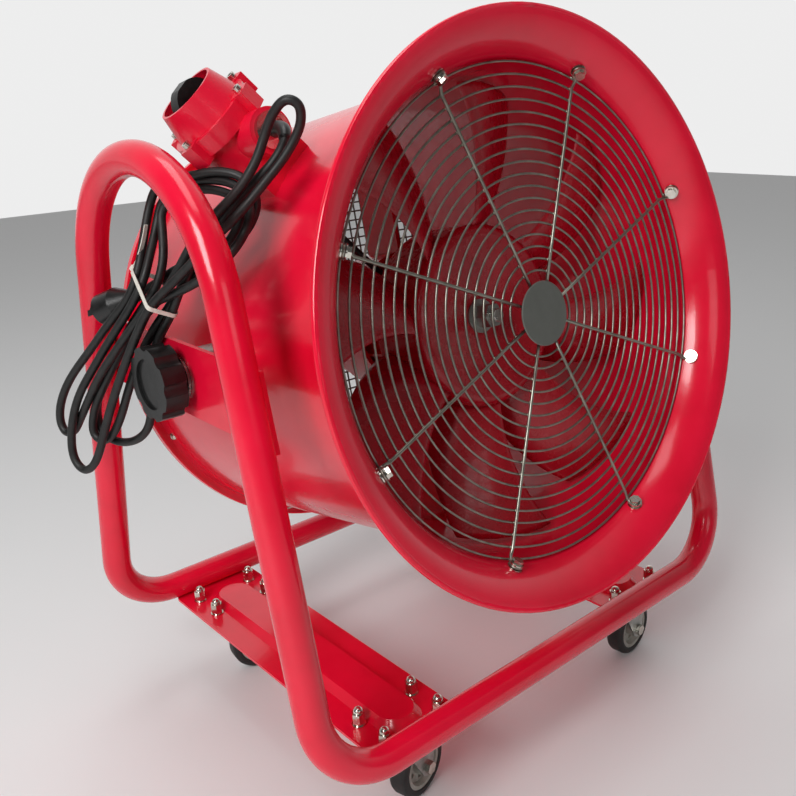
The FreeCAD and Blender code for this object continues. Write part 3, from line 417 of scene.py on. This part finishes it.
def power_cord():
    """The cord from the gland to its plug, with its boot and tie."""
    curve = cord_line(settled(CORD_ROUTE))
    line = sampled_line(curve)
    curve.bevel_depth = CORD_R
    curve.bevel_resolution = 4
    curve.use_fill_caps = True
    cord = link("power_cord", curve, CORD)
    start = line[0]
    way = (line[1] - start).normalized()
    boot = swept("gland_boot", [start + way * d for d in (-0.004, 0.0, 0.004)] + line[3:12],
                 [0.0082, 0.0082, 0.0078] + [0.0074 - 0.00024 * i for i in range(9)], BLACK)
    tie = cable_tie(line)
    for piece in [cord, boot] + tie:
        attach(piece, "drum")
    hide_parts("power_lead", "cord_hank")
    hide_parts("cable_tie")


power_cord()


# ------------------------------------------------------------------ guards and impeller
IN_DUCT = Matrix.Translation(PIVOT) @ DUCT_TURN     # from the duct's own axes: right, back, up
RINGS, FIRST_RING, LAST_RING = 18, 0.045, 0.2556
RING_STEP = (LAST_RING - FIRST_RING) / (RINGS - 1)
RING_WIRE, SPOKE_WIRE = 0.00125, 0.00175
RING_PLANE = 0.215                                  # how far the rings stand in front of the pivots
SPOKES, SPOKE_TURN = 8, math.radians(22.5)
BLADES, BLADE_TURN = 8, math.radians(56)
HUB_R, TIP_R = 0.1015, 0.2475
MESH_PLANE, MESH_WIRES, MESH_PITCH, MESH_WIRE, HOOP_R = 0.222, 40, 0.0125, 0.00125, 0.251
QUARTER = math.pi / 2


def new_tree(name, **sizes):
    """A geometry tree with a named input for each size: a whole number, a length or turn, or a finish."""
    tree = bpy.data.node_groups.new(name, "GeometryNodeTree")
    tree.interface.new_socket("Geometry", in_out="INPUT", socket_type="NodeSocketGeometry")
    tree.interface.new_socket("Geometry", in_out="OUTPUT", socket_type="NodeSocketGeometry")
    kinds = {int: "NodeSocketInt", float: "NodeSocketFloat", type(None): "NodeSocketMaterial"}
    for label, value in sizes.items():
        tree.interface.new_socket(label.replace("_", " "), in_out="INPUT", socket_type=kinds[type(value)])
    inputs = add(tree, "NodeGroupInput").outputs
    return tree, {label: inputs[label.replace("_", " ")] for label in ("Geometry", *sizes)}


def finished(tree, geometry, material):
    """Ends a tree: smooth, real, and with its finish."""
    smooth = add(tree, "GeometryNodeSetShadeSmooth", {"Geometry": geometry})
    real = add(tree, "GeometryNodeRealizeInstances", {"Geometry": smooth})
    painted = add(tree, "GeometryNodeSetMaterial", {"Geometry": real, "Material": material})
    add(tree, "NodeGroupOutput", {"Geometry": painted})


def grown(name, tree, material, start=None, **sizes):
    """Runs a tree on a mesh, and keeps the plain mesh that it gives, set in the duct."""
    seed = bpy.data.objects.new("seed", start or bpy.data.meshes.new("seed"))
    bpy.context.scene.collection.objects.link(seed)
    growth = seed.modifiers.new("growth", "NODES")
    growth.node_group = tree
    values = {**sizes, "Material": material}
    for item in tree.interface.items_tree:
        label = item.name.replace(" ", "_")
        if item.in_out == "INPUT" and label in values:
            growth[item.identifier] = values[label]
    graph = bpy.context.evaluated_depsgraph_get()
    mesh = bpy.data.meshes.new_from_object(seed.evaluated_get(graph))
    seed.modifiers.remove(growth)
    bpy.data.objects.remove(seed)
    mesh.transform(IN_DUCT)
    mesh.name = name
    return link(name, mesh)


def rings_tree():
    """Rings of round wire in one plane, evenly spaced from the first outwards."""
    tree, size = new_tree("guard_ring_set", Rings=1, First_radius=0.1, Spacing=0.1, Wire_radius=0.1, Depth=0.1, Material=None)
    start = add(tree, "ShaderNodeCombineXYZ", {"Y": size["Depth"]})
    line = add(tree, "GeometryNodeMeshLine", {"Count": size["Rings"], "Offset": (0, 0, 0), "Start Location": start})
    radius = add(tree, "ShaderNodeMath", {0: add(tree, "GeometryNodeInputIndex"), 1: size["Spacing"], 2: size["First_radius"]},
                 operation="MULTIPLY_ADD")
    ring = add(tree, "GeometryNodeCurvePrimitiveCircle", {"Resolution": 120, "Radius": 1.0})
    grow = add(tree, "ShaderNodeCombineXYZ", {"X": radius, "Y": radius, "Z": radius})
    copies = add(tree, "GeometryNodeInstanceOnPoints", {"Points": line, "Instance": ring,
                                                        "Rotation": (QUARTER, 0, 0), "Scale": grow})
    curves = add(tree, "GeometryNodeRealizeInstances", {"Geometry": copies})
    wire = add(tree, "GeometryNodeCurvePrimitiveCircle", {"Resolution": 8, "Radius": size["Wire_radius"]})
    finished(tree, add(tree, "GeometryNodeCurveToMesh", {"Curve": curves, "Profile Curve": wire}), size["Material"])
    return tree


def round_axis_tree():
    """Copies of one piece set evenly round the duct's axis."""
    tree, size = new_tree("set_round_axis", Count=1, Start_turn=0.1, Step_turn=0.1, Material=None)
    line = add(tree, "GeometryNodeMeshLine", {"Count": size["Count"], "Offset": (0, 0, 0)})
    turn = add(tree, "ShaderNodeMath", {0: add(tree, "GeometryNodeInputIndex"), 1: size["Step_turn"], 2: size["Start_turn"]},
               operation="MULTIPLY_ADD")
    turned = add(tree, "ShaderNodeCombineXYZ", {"Y": turn})
    copies = add(tree, "GeometryNodeInstanceOnPoints", {"Points": line, "Instance": size["Geometry"], "Rotation": turned})
    finished(tree, copies, size["Material"])
    return tree


def weld_tree():
    """A small flat weld where each ring crosses each spoke."""
    tree, size = new_tree("guard_welds", Welds=1, Rings=1, First_radius=0.1, Spacing=0.1, Depth=0.1, Weld_radius=0.1,
                          Start_turn=0.1, Step_turn=0.1, Material=None)
    line = add(tree, "GeometryNodeMeshLine", {"Count": size["Welds"], "Offset": (0, 0, 0)})
    index = add(tree, "GeometryNodeInputIndex")
    ring = add(tree, "ShaderNodeMath", {0: index, 1: size["Rings"]}, operation="MODULO")
    spoke = add(tree, "ShaderNodeMath", {0: index, 1: size["Rings"]}, operation="DIVIDE")
    whole = add(tree, "ShaderNodeMath", {0: spoke}, operation="FLOOR")
    radius = add(tree, "ShaderNodeMath", {0: ring, 1: size["Spacing"], 2: size["First_radius"]}, operation="MULTIPLY_ADD")
    turn = add(tree, "ShaderNodeMath", {0: whole, 1: size["Step_turn"], 2: size["Start_turn"]}, operation="MULTIPLY_ADD")
    cosine = add(tree, "ShaderNodeMath", {0: turn}, operation="COSINE")
    sine = add(tree, "ShaderNodeMath", {0: turn}, operation="SINE")
    east = add(tree, "ShaderNodeMath", {0: radius, 1: cosine}, operation="MULTIPLY")
    north = add(tree, "ShaderNodeMath", {0: radius, 1: sine}, operation="MULTIPLY")
    place = add(tree, "ShaderNodeCombineXYZ", {"X": east, "Y": size["Depth"], "Z": north})
    spots = add(tree, "GeometryNodeSetPosition", {"Geometry": line, "Position": place})
    bead = add(tree, "GeometryNodeMeshUVSphere", {"Segments": 8, "Rings": 6, "Radius": size["Weld_radius"]})
    beads = add(tree, "GeometryNodeInstanceOnPoints", {"Points": spots, "Instance": bead, "Scale": (1.0, 0.7, 1.0)})
    finished(tree, beads, size["Material"])
    return tree


def square_mesh_tree():
    """Two layers of straight wires that end on a round hoop, and the hoop."""
    tree, size = new_tree("welded_square_mesh", Wires=1, First_offset=0.1, Pitch=0.1, Wire_radius=0.1, Hoop_radius=0.1,
                          Hoop_wire=0.1, Depth=0.1, Material=None)
    first = add(tree, "ShaderNodeCombineXYZ", {"Z": size["First_offset"]})
    step = add(tree, "ShaderNodeCombineXYZ", {"Z": size["Pitch"]})
    line = add(tree, "GeometryNodeMeshLine", {"Count": size["Wires"], "Start Location": first, "Offset": step})
    off = add(tree, "ShaderNodeSeparateXYZ", {"Vector": add(tree, "GeometryNodeInputPosition")}).outputs["Z"]
    # half a wire's length is the root of the hoop's radius squared less the offset squared
    most = add(tree, "ShaderNodeMath", {0: size["Hoop_radius"], 1: size["Hoop_radius"]}, operation="MULTIPLY")
    less = add(tree, "ShaderNodeMath", {0: off, 1: off}, operation="MULTIPLY")
    left_over = add(tree, "ShaderNodeMath", {0: most, 1: less}, operation="SUBTRACT")
    half = add(tree, "ShaderNodeMath", {0: left_over}, operation="SQRT")
    wire = add(tree, "GeometryNodeCurvePrimitiveLine", {"Start": (-1, 0, 0), "End": (1, 0, 0)})
    reach = add(tree, "ShaderNodeCombineXYZ", {"X": half, "Y": 1.0, "Z": 1.0})
    copies = add(tree, "GeometryNodeInstanceOnPoints", {"Points": line, "Instance": wire, "Scale": reach})
    curves = add(tree, "GeometryNodeRealizeInstances", {"Geometry": copies})
    section = add(tree, "GeometryNodeCurvePrimitiveCircle", {"Resolution": 6, "Radius": size["Wire_radius"]})
    layer = add(tree, "GeometryNodeCurveToMesh", {"Curve": curves, "Profile Curve": section, "Fill Caps": True})
    ahead = add(tree, "ShaderNodeMath", {0: size["Wire_radius"], 1: -1.0}, operation="MULTIPLY")
    front = add(tree, "ShaderNodeCombineXYZ", {"Y": ahead})
    level = add(tree, "GeometryNodeTransform", {"Geometry": layer, "Translation": front})
    back = add(tree, "ShaderNodeCombineXYZ", {"Y": size["Wire_radius"]})
    upright = add(tree, "GeometryNodeTransform", {"Geometry": layer, "Translation": back, "Rotation": (0, QUARTER, 0)})
    circle = add(tree, "GeometryNodeCurvePrimitiveCircle", {"Resolution": 120, "Radius": size["Hoop_radius"]})
    rim = add(tree, "GeometryNodeCurvePrimitiveCircle", {"Resolution": 12, "Radius": size["Hoop_wire"]})
    hoop = add(tree, "GeometryNodeCurveToMesh", {"Curve": circle, "Profile Curve": rim})
    turned = add(tree, "GeometryNodeTransform", {"Geometry": hoop, "Rotation": (QUARTER, 0, 0)})
    joined = add(tree, "GeometryNodeJoinGeometry")
    for part in (level, upright, turned):
        tree.links.new(part.outputs["Geometry"], joined.inputs["Geometry"])
    depth = add(tree, "ShaderNodeCombineXYZ", {"Y": size["Depth"]})
    finished(tree, add(tree, "GeometryNodeTransform", {"Geometry": joined, "Translation": depth}), size["Material"])
    return tree


def mesh_alone(piece):
    """A piece's mesh, without the piece."""
    mesh = piece.data
    bpy.data.objects.remove(piece)
    return mesh


def one_spoke():
    """A spoke from the badge to the flare, its end bent into an eye round the screw."""
    plane = -(RING_PLANE + RING_WIRE + SPOKE_WIRE - 0.0002)
    slope = math.radians(27.6)
    eye, eye_r = Vector((0.2602, -0.2250, 0)), 0.0056
    inward = Vector((-math.sin(slope), math.cos(slope), 0)) * eye_r
    round_it = Vector((0, 0, eye_r))
    path = [Vector((x, plane, 0)) for x in (0.020, 0.09, 0.16, 0.23, 0.244)]
    path.append(Vector((0.251, plane - 0.0008, -0.0022)))
    for step in range(19):
        a = math.radians(-62 - 13.5 * step)
        path.append(eye + inward * math.cos(a) + round_it * math.sin(a))
    return mesh_alone(swept("spoke", path, [SPOKE_WIRE] * len(path), WIRE, sides=10))


def one_blade():
    """A pressed blade: twisted from root to tip, its front edge hollow and its back edge full, with a sharp front tip."""
    rows, columns, half = 22, 18, 0.0014
    root_r = HUB_R - 0.002
    verts = {}
    for face in (1, -1):
        for i in range(rows + 1):
            s = i / rows
            r = root_r + (TIP_R - root_r) * s
            front, back = 0.020 - 0.016 * s + 0.064 * s * s, -0.038 - 0.078 * s + 0.072 * s * s
            fore, aft = 0.133 + 0.031 * s, 0.072 + 0.054 * s
            run, rise = front - back, fore - aft
            length = math.hypot(run, rise)
            camber = 0.012 - 0.004 * s
            for j in range(columns + 1):
                share = j / columns
                edge = min(1.0, 9 * min(share, 1 - share) + 0.25)
                lift = camber * 4 * share * (1 - share) + face * half * edge
                t = back + run * share - rise / length * lift
                a = aft + rise * share + run / length * lift
                verts[face, i, j] = Vector((-r * math.sin(t / r), -a, r * math.cos(t / r)))
    order = {key: k for k, key in enumerate(verts)}
    faces = []
    for i in range(rows):
        for j in range(columns):
            quad = [(i, j), (i, j + 1), (i + 1, j + 1), (i + 1, j)]
            faces.append([order[1, a, b] for a, b in quad])
            faces.append([order[-1, a, b] for a, b in reversed(quad)])
    rim = [(0, j) for j in range(columns)] + [(i, columns) for i in range(rows)]
    rim += [(rows, j) for j in range(columns, 0, -1)] + [(i, 0) for i in range(rows, 0, -1)]
    for (a, b), (c, d) in zip(rim, rim[1:] + rim[:1]):
        faces.append([order[1, a, b], order[-1, a, b], order[-1, c, d], order[1, c, d]])
    return mesh_alone(mesh_from("blade", verts.values(), faces, RED_COAT_PAINTED_SHADE))


def guards_and_blades():
    """The wire guards and the blades, each standing for its CAD node."""
    round_axis = round_axis_tree()
    ring_sizes = {"Rings": RINGS, "First_radius": FIRST_RING, "Spacing": RING_STEP}
    spoke_turns = {"Start_turn": SPOKE_TURN, "Step_turn": 2 * math.pi / SPOKES}
    rings = grown("guard_wire_rings", rings_tree(), WIRE, Wire_radius=RING_WIRE, Depth=-RING_PLANE, **ring_sizes)
    spokes = grown("guard_wire_spokes", round_axis, WIRE, start=one_spoke(), Count=SPOKES, **spoke_turns)
    welds = grown("guard_spot_welds", weld_tree(), WIRE, Welds=RINGS * SPOKES, Depth=-RING_PLANE - RING_WIRE,
                  Weld_radius=0.0023, **ring_sizes, **spoke_turns)
    rear = grown("rear_square_mesh", square_mesh_tree(), MESH, Wires=MESH_WIRES, First_offset=-MESH_PITCH * (MESH_WIRES - 1) / 2,
                 Pitch=MESH_PITCH, Wire_radius=MESH_WIRE, Hoop_radius=HOOP_R, Hoop_wire=0.0026, Depth=MESH_PLANE)
    blades = grown("pressed_blades", round_axis, RED_COAT_PAINTED_SHADE, start=one_blade(), Count=BLADES, Start_turn=BLADE_TURN,
                   Step_turn=2 * math.pi / BLADES)
    for piece, slot in ((rings, "guard_wire"), (spokes, "guard_wire"), (welds, "guard_wire"), (rear, "mesh_wire")):
        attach(piece, "drum")
    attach(blades, "impeller")
    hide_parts("front_guard_rings")
    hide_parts("front_guard_spokes")
    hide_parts("rear_guard_mesh")
    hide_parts("impeller_blades")


guards_and_blades()


# ------------------------------------------------------------------ floor, light and camera
def studio():
    """A pale floor, a bright wall and three soft lamps, the strongest of them on the left."""
    floor = bpy.data.meshes.new("floor")
    floor.from_pydata([(-6, -6, 0), (6, -6, 0), (6, 6, 0), (-6, 6, 0)], [], [(0, 1, 2, 3)])
    thing = bpy.data.objects.new("floor", floor)
    bpy.context.scene.collection.objects.link(thing)
    material, tree, place = new_material("pale_studio_floor")
    floor.materials.append(shaded(material, tree, {"Base Color": srgb("#EAEAEA"), "Roughness": 0.75}))

    world = bpy.data.worlds.new("studio")
    world.use_nodes = True
    tree = world.node_tree
    # a white wall stands far behind the object, and the rest of the room is dim
    facing = add(tree, "ShaderNodeVectorMath", {0: add(tree, "ShaderNodeTexCoord"), 1: (0.66, 0.75, 0.0)},
                 operation="DOT_PRODUCT").outputs["Value"]
    bright = add(tree, "ShaderNodeMapRange", {"Value": facing, "From Min": -0.1, "From Max": 0.8, "To Min": 0.09, "To Max": 0.85})
    backdrop = tree.nodes["Background"].inputs
    tree.links.new(bright.outputs["Result"], backdrop["Strength"])
    backdrop["Color"].default_value = srgb("#FFFFFF")
    bpy.context.scene.world = world
    bpy.context.scene.view_settings.view_transform = "Standard"

    def lamp(name, place, aim, size, power):
        light = bpy.data.lights.new(name, "AREA")
        light.shape = "RECTANGLE"
        light.size, light.size_y = size
        light.energy = power
        holder = bpy.data.objects.new(name, light)
        facing_it = (Vector(aim) - Vector(place)).to_track_quat("-Z", "Y").to_matrix().to_4x4()
        holder.matrix_world = Matrix.Translation(place) @ facing_it
        bpy.context.scene.collection.objects.link(holder)

    lamp("window", (-2.3, -0.9, 1.9), (0, 0, 0.5), (1.0, 1.5), 52)
    lamp("ceiling", (-0.3, 0.1, 2.8), (0, 0, 0.4), (2.0, 1.0), 18)
    lamp("front_fill", (-0.6, -2.8, 1.2), (0, 0, 0.45), (1.2, 0.8), 4)


def photographer():
    """The camera: a hand-held one about 1.3 m away, looking down on the mouth's left side."""
    yaw, pitch, roll = (math.radians(a) for a in (41.276, 17.896, -2.42))
    ahead = Vector((math.sin(yaw) * math.cos(pitch), math.cos(yaw) * math.cos(pitch), -math.sin(pitch)))
    right = Vector((math.cos(yaw), -math.sin(yaw), 0))
    up = right.cross(ahead)
    across = right * math.cos(roll) + up * math.sin(roll)
    upward = up * math.cos(roll) - right * math.sin(roll)
    turn = Matrix((across, upward, -ahead)).transposed().to_4x4()
    data = bpy.data.cameras.new("camera")
    data.sensor_width = 36.0
    data.lens = 41.13
    data.shift_x = -0.0507
    data.shift_y = -0.0236
    data.clip_start = 0.02
    camera = bpy.data.objects.new("camera", data)
    camera.matrix_world = Matrix.Translation(mm(-691.55, -832.96, 761.97)) @ turn
    bpy.context.scene.collection.objects.link(camera)
    bpy.context.scene.camera = camera


studio()
photographer()
